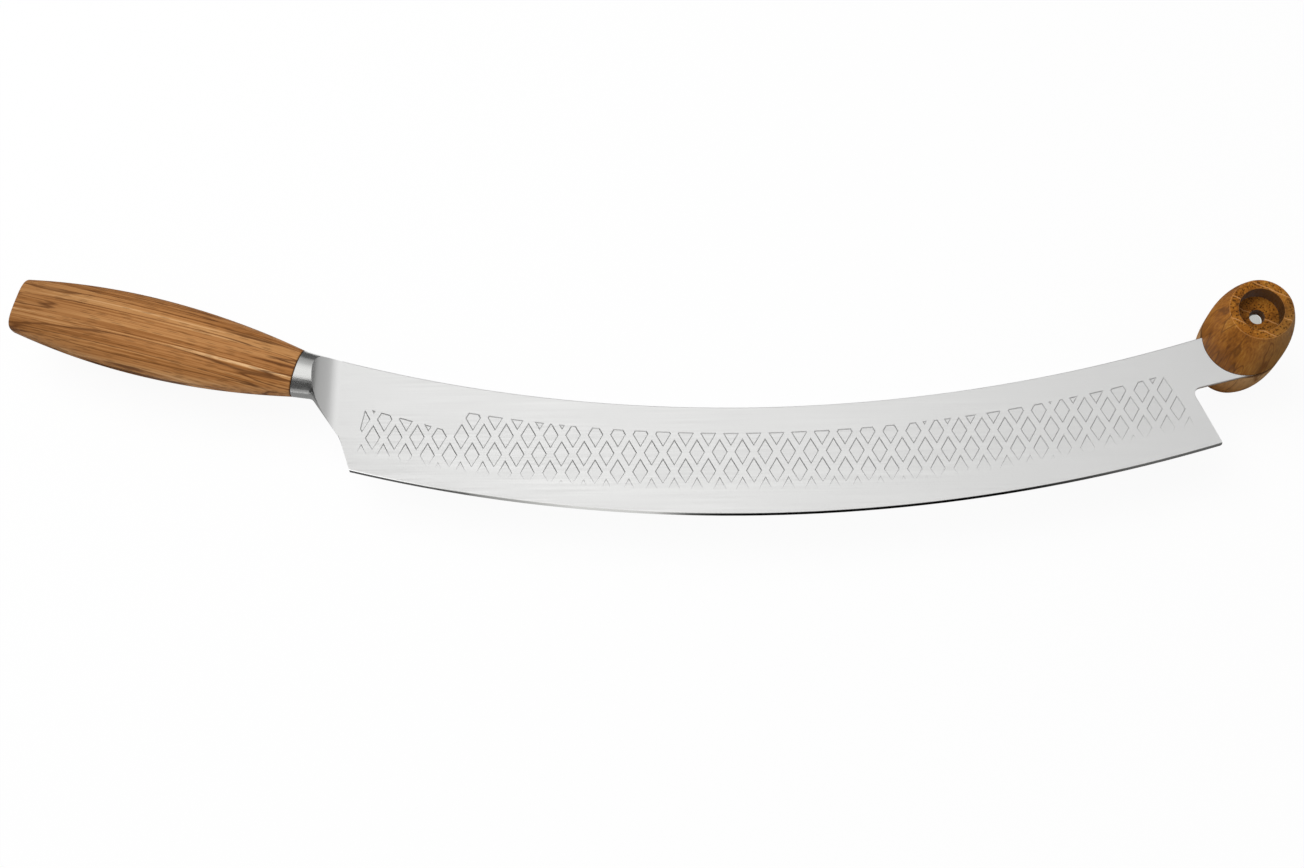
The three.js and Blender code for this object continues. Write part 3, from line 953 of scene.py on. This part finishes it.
@dataclass
class Handle:
    """The oak handle: ovals that swell to the palm and draw in to a squarer, rounded butt."""

    grip: Grip
    length: float = 138.4
    swell_at: float = 74.0
    height: float = 36.8
    thickness: float = 22.0
    butt_height: float = 25.0
    butt_thickness: float = 14.0
    butt_squareness: float = 3.0
    butt_round: float = 1.6
    tang_in_handle: float = 95.0
    overcut: float = 2.0
    smooth_below: float = 40.0
    stations: int = 56
    round_stations: int = 8
    facets: int = 96

    def swell(self, distance: float, at_joint: float, full: float, at_butt: float) -> float:
        """Gives the half-size at a distance from the joint.

        Args:
            distance: the distance from the joint.
            at_joint: the size at the joint.
            full: the size at the swell.
            at_butt: the size at the butt.

        Returns:
            Half the size there.
        """
        before = distance < self.swell_at
        end = at_joint if before else at_butt
        reach = self.swell_at if before else self.length - self.swell_at
        return (full - (full - end) * ((distance - self.swell_at) / reach) ** 2) / 2

    def outline(self, distance: float, inset: float) -> list[Vector]:
        """Draws the section at a distance from the joint, drawn in by an inset.

        Args:
            distance: the distance from the joint.
            inset: how far the section is drawn in.

        Returns:
            The section's points.
        """
        grip = self.grip
        high = self.swell(distance, grip.joint_height, self.height, self.butt_height) - inset
        thick = self.swell(
            distance, grip.joint_thickness, self.thickness, self.butt_thickness,
        ) - inset
        share = distance / self.length
        squareness = grip.joint_squareness + (self.butt_squareness - grip.joint_squareness) * share
        points = []
        for k in range(self.facets):
            up, out = oval(2 * math.pi * k / self.facets, squareness)
            points.append(grip.at(-grip.fit_gap - distance, high * up, thick * out))
        return points

    def build(self, material: Material) -> Object:
        """Models the handle with its mortise and dresses it.

        Args:
            material: the oak.

        Returns:
            The handle.
        """
        straight = self.length - self.butt_round
        rings = [
            self.outline(straight * i / self.stations, 0.0) for i in range(self.stations + 1)
        ]
        for i in range(1, self.round_stations + 1):
            angle = math.pi / 2 * i / self.round_stations
            distance = self.length - self.butt_round * (1 - math.sin(angle))
            rings.append(self.outline(distance, self.butt_round * (1 - math.cos(angle))))
        piece = Bench.loft("handle_barrel", rings)
        Bench.cut(piece, self.grip.tang_bar(
            "mortise", -self.tang_in_handle - self.grip.fit_gap, self.overcut,
        ))
        Bench.smooth(piece, self.smooth_below)
        return Bench.dress(piece, material, "handle", "handle_oak")


@dataclass
class Bolster:
    """The steel collar: ovals from the joint to the blade's root, ground hollow on both flanks."""

    grip: Grip
    joint_low: Vector
    joint_high: Vector
    heel_top: Vector
    heel_bend: Vector
    heel_corner: Vector
    top_turn: Vector
    top_end: Vector
    root_x: float
    fillet: float = 4.0
    bend_radius: float = 15.0
    hollow: float = 12.0
    lap: float = 0.4
    lap_height: float = 0.01
    tongue_height: float = 11.0
    tongue_end: float = 5.7
    tongue_play: float = 0.01
    tang_in_bolster: float = 4.0
    smooth_below: float = 30.0
    stations: int = 64
    hollow_steps: int = 36
    facets: int = 128
    curve_steps: int = 24

    def heel_line(self) -> list[Vector]:
        """Draws the heel under the bolster, round its fillet and down to the corner on the edge.

        Returns:
            The points of the line.
        """
        line = [self.joint_low]
        for corner, after, radius in (
            (self.heel_top, self.heel_bend, self.fillet),
            (self.heel_bend, self.heel_corner, self.bend_radius),
        ):
            back = (line[-1] - corner).normalized()
            onward = (after - corner).normalized()
            reach = radius / math.tan(math.acos(back.dot(onward)) / 2)
            line += self.curve(corner + back * reach, corner, corner + onward * reach)
        line.append(self.heel_corner)
        return line

    def curve(self, start: Vector, corner: Vector, end: Vector) -> list[Vector]:
        """Gives points on the curve that leaves start and reaches end towards a corner."""
        shares = [i / self.curve_steps for i in range(self.curve_steps + 1)]
        return [
            start * (1 - t) ** 2 + corner * (2 * t * (1 - t)) + end * t ** 2 for t in shares
        ]

    @staticmethod
    def at_x(line: Sequence[Vector], x: float) -> Vector:
        """Gives the point of a line at a place along the blade.

        Args:
            line: the line, whose X only grows.
            x: the place along the blade.

        Returns:
            The point there, or the line's nearest end.
        """
        for a, b in zip(line, line[1:]):
            if a.x <= x <= b.x and b.x > a.x:
                return a.lerp(b, (x - a.x) / (b.x - a.x))
        return line[0] if x < line[0].x else line[-1]

    def outlines(self) -> list[list[Vector]]:
        """Draws ovals of the collar's full thickness, which turn upright towards the blade's root.

        Returns:
            The outlines, from the joint to a lap over the root.
        """
        heel = self.heel_line()
        top = self.curve(self.joint_high, self.top_turn, self.top_end)
        last = self.root_x + self.lap
        half_thick = self.grip.joint_thickness / 2
        rings = []
        for i in range(self.stations + 1):
            t = i / self.stations
            low = self.at_x(heel, self.joint_low.x + (last - self.joint_low.x) * t)
            high = self.at_x(top, self.joint_high.x + (last - self.joint_high.x) * t)
            ring = []
            for k in range(self.facets):
                up, out = oval(2 * math.pi * k / self.facets, self.grip.joint_squareness)
                point = low.lerp(high, (1 + up) / 2)
                ring.append(Vector((point.x, point.y, BLADE_MIDDLE + out * half_thick)))
            rings.append(ring)
        return rings

    def hollow_cutter(self, side: int) -> Object:
        """Makes the wheel's sweep over one flank, from the full thickness to the blade's flank.

        Args:
            side: 1 for the upper flank, -1 for the lower one.

        Returns:
            The cutter.
        """
        low, high = HALF_BLADE + self.lap_height, self.grip.joint_thickness / 2
        depth = high - low
        radius = (self.hollow ** 2 + depth ** 2) / (2 * depth)
        first = math.asin(self.hollow / radius)
        profile = []
        for i in range(self.hollow_steps + 1):
            angle = first * (1 - i / self.hollow_steps)
            back, rise = radius * math.sin(angle), radius * (1 - math.cos(angle))
            profile.append((self.root_x - back, low + rise))
        ahead = self.root_x + self.grip.joint_height
        profile += [(ahead, low), (ahead, 2 * high), (self.root_x - self.hollow, 2 * high)]
        return Bench.loft(f"hollow_{side}", [
            [Vector((x, y, BLADE_MIDDLE + side * height)) for x, height in profile]
            for y in (self.heel_corner.y, self.joint_high.y + self.grip.joint_height)
        ])

    def build(self, material: Material) -> Object:
        """Models the bolster and dresses it.

        Args:
            material: the steel.

        Returns:
            The bolster.
        """
        grip = self.grip
        piece = Bench.loft("bolster_collar", self.outlines())
        for side in (1, -1):
            Bench.cut(piece, self.hollow_cutter(side))
        Bench.cut(piece, grip.bar(
            "tongue_slot", self.tongue_end - grip.fit_gap, self.tongue_end + 2 * grip.joint_height,
            self.tongue_height + 2 * grip.fit_gap, 2 * HALF_BLADE + self.tongue_play,
        ))
        Bench.cut(piece, grip.tang_bar(
            "tang_socket", -self.tang_in_bolster, self.tang_in_bolster + grip.fit_gap,
        ))
        Bench.smooth(piece, self.smooth_below)
        return Bench.dress(piece, material, "bolster", "bolster_steel")


@dataclass
class Knob:
    """The turned oak knob across the tip: two halves with the blade's tab between them."""

    axis: Vector
    length: float = 68.0
    diameter: float = 36.1
    end_diameter: float = 26.8
    swell: float = 2.8
    rim: float = 1.2
    bore_diameter: float = 18.8
    bore_depth: float = 8.7
    bore_rim: float = 0.6
    pin_bore: float = 3.3
    seam_round: float = 0.35
    smooth_below: float = 40.0
    side_steps: int = 36
    rim_steps: int = 8
    facets: int = 128

    def profile(self, side: int) -> list[Vector]:
        """Draws the closed profile of one half, in the plane through its axis.

        Args:
            side: 1 for the upper half, -1 for the lower one.

        Returns:
            The profile's points.
        """
        full, end = self.diameter / 2, self.end_diameter / 2
        top, bore = self.length / 2, self.bore_diameter / 2
        floor = top - self.bore_depth
        seam = HALF_BLADE + self.seam_round
        line = [(self.pin_bore, HALF_BLADE), (full - self.seam_round, HALF_BLADE)]
        for i in range(self.side_steps + 1):
            height = seam + (top - self.rim - seam) * i / self.side_steps
            line.append((full - (full - end) * (height / top) ** self.swell, height))
        rim_at = line[-1][0]
        turns = [math.pi / 2 * i / self.rim_steps for i in range(self.rim_steps + 1)]
        for turn in turns[1:]:
            inward, down = self.rim * (1 - math.cos(turn)), self.rim * (1 - math.sin(turn))
            line.append((rim_at - inward, top - down))
        for turn in turns:
            outward = self.bore_rim * (1 - math.sin(turn))
            line.append((bore + outward, top - self.bore_rim * (1 - math.cos(turn))))
        line += [(bore, floor), (self.pin_bore, floor)]
        return [self.axis + Vector((radius, 0, side * height)) for radius, height in line]

    def build(self, material: Material) -> list[Object]:
        """Turns both halves and dresses them.

        Args:
            material: the oak.

        Returns:
            The upper and the lower half.
        """
        halves = []
        for name, side in (("knob_upper", 1), ("knob_lower", -1)):
            piece = Bench.turned(name, self.profile(side), self.axis, self.facets)
            Bench.smooth(piece, self.smooth_below)
            # The satin tab beside the knob stays free of a brown mirror image
            piece.visible_glossy = False
            halves.append(Bench.dress(piece, material, f"{name}_half", "knob_oak"))
        return halves


@dataclass(frozen=True)
class Flag:
    """A card that only reflections see, as black flags shade polished metal in a studio.

    Its length and its height are vectors along its whole sides.
    """

    name: str
    middle: Size
    length: Size
    height: Size
    tone: str

    def hang(self) -> Object:
        """Hangs the card.

        Returns:
            The card.
        """
        Bench.clear()
        bpy.ops.mesh.primitive_plane_add(size=1.0)
        card = bpy.context.object
        card.name = self.name
        along, up = Vector(self.length), Vector(self.height)
        matrix = Matrix((along, up, along.cross(up).normalized())).transposed().to_4x4()
        matrix.translation = Vector(self.middle)
        card.matrix_world = matrix
        for rays in ("camera", "diffuse", "transmission", "shadow"):
            setattr(card, f"visible_{rays}", False)
        material, tree, shader = new_material(f"matt card, {self.name}")
        feed(tree, shader, {
            "Base Color": linear(BLACK), "Specular IOR Level": 0.0,
            "Emission Color": linear(self.tone), "Emission Strength": 1.0,
        })
        card.data.materials.append(material)
        return card


FLAGS = (
    Flag("flag_front", (-0.284, -0.123, 0.23), (0.16, -0.16, 0.0), (0.054, 0.207, 0.18), "#505050"),
    Flag("flag_floor", (-0.225, -0.1, 0.0006), (0.13, -0.085, 0.0), (0.15, 0.24, 0.0), "#9C9C9C"),
    Flag("flag_back", (-0.015, 0.085, 0.0375), (0.63, 0.0, 0.0), (0.0, 0.0, 0.075), "#606060"),
    Flag("flag_left", (-0.45, -0.1, 0.12), (0.0, 0.4, 0.0), (0.0, 0.0, 0.24), "#303030"),
    Flag("flag_heel", (-0.3, -0.03, 0.0007), (0.12, 0.0, 0.0), (0.0, 0.12, 0.0), "#404040"),
    Flag("flag_knob", (0.28, 0.01, 0.0008), (0.14, 0.0, 0.0), (0.0, 0.14, 0.0), "#50361C"),
    Flag("flag_top", (0.165, -0.22, 0.83), (0.4, 0.0, 0.0), (0.0, 0.16, 0.0), BLACK),
)


@dataclass
class Studio:
    """A pale floor, soft light and the camera at the photograph's view.

    The spans of the reflected sky are parts of a direction, and its levels are brightness.
    """

    camera_at: Size = (0.0591, -0.2756, 0.8067)
    looks: Size = (-0.06118, 0.31304, -0.94777)
    camera_up: Size = (0.01316, 0.94971, 0.31283)
    lens: float = 50.79
    sensor: float = 36.0
    clip: Span = (0.01, 50.0)
    floor_size: float = 8.0
    floor_colour: str = "#F2F2F2"
    floor_roughness: float = 0.9
    floor_glow: float = 0.93
    sky_level: float = 0.5
    across_end: float = 0.32
    across_levels: Span = (1.11, 0.42)
    wall_top: float = 0.75
    wall_levels: Span = (0.36, 0.52)
    ceiling_span: Span = (0.74, 0.88)
    ceiling_level: float = 0.62
    right_span: Span = (0.25, 0.65)
    window_at: float = 0.33
    window_span: Span = (0.3, 0.12)
    window_levels: Span = (0.12, 0.4)
    key_at: Size = (-0.5, 0.3, 1.35)
    key_size: float = 1.0
    key_watts: float = 14.0

    def camera(self) -> Object:
        """Adds the camera.

        Returns:
            The camera.
        """
        Bench.clear()
        bpy.ops.object.camera_add()
        camera = bpy.context.object
        back = -Vector(self.looks).normalized()
        right = Vector(self.camera_up).cross(back).normalized()
        matrix = Matrix((right, back.cross(right), back)).transposed().to_4x4()
        matrix.translation = Vector(self.camera_at)
        camera.matrix_world = matrix
        camera.data.sensor_width = self.sensor
        camera.data.lens = self.lens
        camera.data.clip_start, camera.data.clip_end = self.clip
        bpy.context.scene.camera = camera
        return camera

    def white_rays(self, tree: Tree) -> Socket:
        """Adds the share of a ray that sees plain white: camera, glossy and transmission rays.

        Args:
            tree: the node tree of the floor or the world.

        Returns:
            The share, 0 or 1.
        """
        path = add_node(tree, "ShaderNodeLightPath").outputs
        seen = add_node(
            tree, MATH, MAXIMUM, {0: path["Is Camera Ray"], 1: path["Is Glossy Ray"]},
        ).outputs[0]
        return add_node(tree, MATH, MAXIMUM, {0: seen, 1: path["Is Transmission Ray"]}).outputs[0]

    def floor(self) -> Object:
        """Adds the white floor, which keeps a soft shadow.

        Returns:
            The floor.
        """
        Bench.clear()
        bpy.ops.mesh.primitive_plane_add(size=self.floor_size)
        floor = bpy.context.object
        floor.name = "floor"
        material, tree, shader = new_material("matt white floor")
        feed(tree, shader, {
            "Base Color": linear(self.floor_colour), "Roughness": self.floor_roughness,
            "Specular IOR Level": 0.0,
        })
        glow = add_node(
            tree, "ShaderNodeEmission", None, {"Color": linear(WHITE), "Strength": 1.0},
        ).outputs[0]
        share = add_node(
            tree, MATH, MULTIPLY, {0: self.white_rays(tree), 1: self.floor_glow},
        ).outputs[0]
        mixed = add_node(
            tree, "ShaderNodeMixShader", None, {0: share, 1: shader.outputs[0], 2: glow},
        ).outputs[0]
        feed(tree, tree.nodes["Material Output"], {"Surface": mixed})
        floor.data.materials.append(material)
        return floor

    def reflected_sky(self, tree: Tree) -> Socket:
        """Adds the sky of reflections: a broad ceiling lamp, dimmer to the right, and a window.

        Args:
            tree: the world's node tree.

        Returns:
            The sky's brightness.
        """
        way = add_node(tree, COORDINATES).outputs["Generated"]
        parts = add_node(tree, SEPARATE, None, {"Vector": way}).outputs
        across = add_node(
            tree, MAP_RANGE, None,
            {"Value": parts["X"], "From Max": self.across_end, TO: self.across_levels},
        ).outputs["Result"]
        walls = add_node(
            tree, MAP_RANGE, None,
            {"Value": parts["Z"], "From Max": self.wall_top, TO: self.wall_levels},
        ).outputs["Result"]
        ceiling = add_node(
            tree, MAP_RANGE, SMOOTH,
            {"Value": parts["Z"], FROM: self.ceiling_span, "To Max": self.ceiling_level},
        ).outputs["Result"]
        upward = add_node(tree, MATH, ADD, {0: walls, 1: ceiling}).outputs[0]

        # The window is to the right, as far round as the bolster's hollow mirrors
        from_window = add_node(tree, MATH, SUBTRACT, {0: parts["Y"], 1: self.window_at}).outputs[0]
        aside = add_node(tree, MATH, ABSOLUTE, {0: from_window}).outputs[0]
        window = add_node(
            tree, MAP_RANGE, SMOOTH,
            {"Value": aside, FROM: self.window_span, TO: self.window_levels},
        ).outputs["Result"]
        right_wall = add_node(
            tree, MAP_RANGE, SMOOTH, {"Value": parts["X"], FROM: self.right_span, "To Max": window},
        ).outputs["Result"]
        return add_node(tree, MATH, MULTIPLY_ADD, {0: across, 1: upward, 2: right_wall}).outputs[0]

    def sky(self) -> None:
        """Sets an even sky for light, another for reflections and plain white for the camera."""
        world = bpy.data.worlds.new("studio")
        bpy.context.scene.world = world
        world.use_nodes = True
        tree = world.node_tree
        even = tree.nodes["Background"]
        feed(tree, even, {"Color": linear(WHITE), "Strength": self.sky_level})
        level = self.reflected_sky(tree)
        straight = add_node(tree, "ShaderNodeLightPath").outputs["Is Camera Ray"]
        seen = add_node(tree, MATH, MAXIMUM, {0: level, 1: straight}).outputs[0]
        white = add_node(
            tree, "ShaderNodeBackground", None, {"Color": linear(WHITE), "Strength": seen},
        ).outputs[0]
        mixed = add_node(
            tree, "ShaderNodeMixShader", None,
            {0: self.white_rays(tree), 1: even.outputs[0], 2: white},
        ).outputs[0]
        feed(tree, tree.nodes["World Output"], {"Surface": mixed})

    def key_lamp(self) -> Object:
        """Adds a square softbox that faces the knife.

        Returns:
            The lamp.
        """
        Bench.clear()
        bpy.ops.object.light_add(type="AREA")
        lamp = bpy.context.object
        lamp.name = "key"
        lamp.location = self.key_at
        lamp.rotation_euler = (-Vector(self.key_at)).to_track_quat("-Z", "Y").to_euler()
        lamp.data.size = self.key_size
        lamp.data.energy = self.key_watts
        lamp.visible_glossy = False
        return lamp

    def build(self) -> None:
        """Sets the whole stage."""
        self.camera()
        self.floor()
        self.sky()
        self.key_lamp()
        for flag in FLAGS:
            flag.hang()
        bpy.context.scene.view_settings.view_transform = "Standard"


HANDLE_OAK = OiledOak(
    name="oiled oak, long grain",
    grain=Grain.ALONG_X,
    turn=RAKE,
    centre=(-151.4, 10.56, BLADE_MIDDLE),
    palette=(
        (0.25, "#5E3412"), (0.42, "#8F5B2B"), (0.53, "#A87341"), (0.65, "#B98652"),
        (0.85, "#E0B686"),
    ),
    fibre_size=(120.0, 0.7, 5.6),
    tone_size=(300.0, 5.0, 12.0),
    line_size=(700.0, 4.4, 8.0),
    line_fade=0.034,
    line_colour="#5E3614",
    pore_size=(9.0, 0.8, 1.6),
    pore_and_shade_colour="#3C2009",
    pore_share=0.35,
    end_pore_share=0.6,
    # Painted shade at the joint with the bolster
    joint_shade_span=(1.0, 0.3),
    specular=0.22,
    pale_band=PaleBand(middle=-4.6, half_width=1.2, share=0.2),
    # Painted shade: darker towards the butt, where the handle curves away from the light
    painted_side_light=(PaintedSideLight(axis="X", start=-60.0, full=-136.0, share=0.3, colour="#7A542E"),),
)

KNOB_OAK = OiledOak(
    name="oiled oak, turned",
    grain=Grain.ALONG_Z,
    turn=math.radians(27),
    centre=(270.2, 20.5, BLADE_MIDDLE),
    palette=(
        (0.25, "#5E3008"), (0.42, "#804C14"), (0.53, "#965C1C"), (0.65, "#A66C26"),
        (0.85, "#BC8A42"),
    ),
    fibre_size=(30.0, 0.8, 0.8),
    tone_size=(40.0, 7.0, 7.0),
    line_size=(60.0, 6.0, 6.0),
    line_fade=0.03,
    line_colour="#6A3E12",
    pore_size=(7.0, 1.2, 1.2),
    pore_and_shade_colour="#2C1606",
    pore_share=0.16,
    end_pore_share=0.78,
    # Painted shade along the seam, where the gap between the halves shades the wood
    joint_shade_span=(2.2, 1.5),
    specular=0.12,
    # Painted shade and sheen: greyer towards the right side, a paler sheen on the lower half below
    # the seam
    painted_side_light=(
        PaintedSideLight(axis="X", start=2.0, full=16.0, share=0.5, colour="#745E34"),
        PaintedSideLight(axis="Z", start=-0.6, full=-1.6, share=0.5, colour="#D0AA7A", gone=-32.0),
    ),
    # Pale rays, and a painted highlight on the rims
    rays=Rays(spacing=9.5, at=1.0, colour="#C8905A", share=0.75, rim_highlight_share=0.5),
    # Painted shade on the counterbore's wall
    bore=ShadedBore(radius=9.4, share=0.72),
)

BLADE_STEEL = GroundBlade(
    name="satin stainless steel, ground blade", colour="#F0F0EF", roughness=0.44,
    line_length=60.0, line_width=0.5,
)
BOLSTER_STEEL = GroundBolster(
    name="satin stainless steel, bolster", colour="#D2D2D0", roughness=0.26,
    line_length=20.0, line_width=0.4, turn=RAKE,
)
PIN_STEEL = SatinSteel(
    name="bright turned steel", colour="#E2E2DD", roughness=0.22, line_length=4.0, line_width=0.3,
)
TANG_STEEL = SatinSteel(
    name="rolled steel", colour="#A8A8A4", roughness=0.5,
    line_length=30.0, line_width=0.6, turn=RAKE,
)


def dress_node(name: str, material: Material) -> None:
    """Gives a CAD node that stays in view a better finish.

    Args:
        name: the node's name.
        material: its finish.
    """
    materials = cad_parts[name].data.materials
    materials.clear()
    materials.append(material)
    LOG.info("%s keeps its solid, finish %s", name, material.name)


def main() -> None:
    """Builds the stage and the knife's pieces in order."""
    logging.basicConfig(level=logging.INFO, format="%(name)s: %(message)s")
    Studio().build()
    grip = Grip(joint=Vector((-151.3993, 10.5583, BLADE_MIDDLE)))
    bolster = Bolster(
        grip=grip,
        joint_low=Vector((-154.2463, -0.0669, 0)),
        joint_high=Vector((-148.5523, 21.1835, 0)),
        heel_top=Vector((-144.8729, -1.3842, 0)),
        heel_bend=Vector((-130.7712, -20.7936, 0)),
        heel_corner=Vector((-125.3993, -36.3947, 0)),
        top_turn=Vector((-145.9303, 19.8871, 0)),
        top_end=Vector((-129.8993, 15.5059, 0)),
        root_x=-131.8993,
    )
    knob = Knob(axis=Vector((270.2007, 20.5016, BLADE_MIDDLE)))
    made = [bolster.build(BOLSTER_STEEL.material()), Handle(grip).build(HANDLE_OAK.material())]
    made += knob.build(KNOB_OAK.material())
    for piece in made:
        LOG.info("%s: %d faces", piece.name, len(piece.data.polygons))
    dress_node("blade", BLADE_STEEL.material())
    dress_node("knob_pin", PIN_STEEL.material())
    dress_node("tang", TANG_STEEL.material())


if __name__ == "__main__":
    main()
